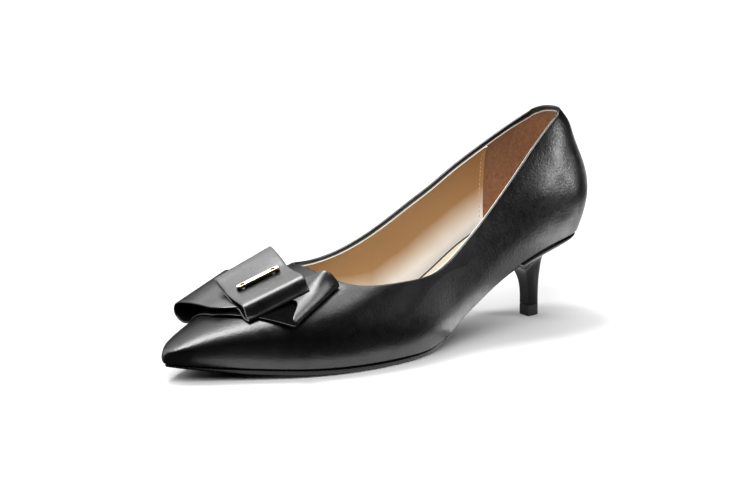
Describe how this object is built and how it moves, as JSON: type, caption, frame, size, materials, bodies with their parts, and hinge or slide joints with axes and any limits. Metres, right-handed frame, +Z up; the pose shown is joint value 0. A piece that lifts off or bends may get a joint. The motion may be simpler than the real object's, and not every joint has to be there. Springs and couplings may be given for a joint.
{
  "type": "kitten-heel pump",
  "caption": "Pointed-toe leather court shoe on a slim low heel, with an open collar, cream lining and a stacked folded bow pinned to the vamp by a thin bar.",
  "frame": {"origin": "on the floor, under the middle of the whole shoe's bounding box", "axes": "+Z up from the floor, +Y along the shoe towards the heel (the toe points to -Y), +X to the outer (lateral) side of this left shoe"},
  "size_m": [0.0892, 0.2546, 0.1086],
  "materials": {
    "upper_leather": "smooth black calf, semi-gloss, fine grain",
    "lining": "cream to tan lining leather, matt",
    "sole": "black, polished edge",
    "heel": "black, glossy",
    "top_piece": "black, matt",
    "bow_leather": "smooth black, semi-gloss, cut edges",
    "bar": "pale gold, polished"
  },
  "bodies": {
    "root": {"upper": "upper_leather", "insole": "lining", "outsole": "sole", "heel": "heel", "top_piece": "top_piece", "bow_lower": "bow_leather", "bow_upper": "bow_leather", "bar": "bar"}
  },
  "joints": []
}
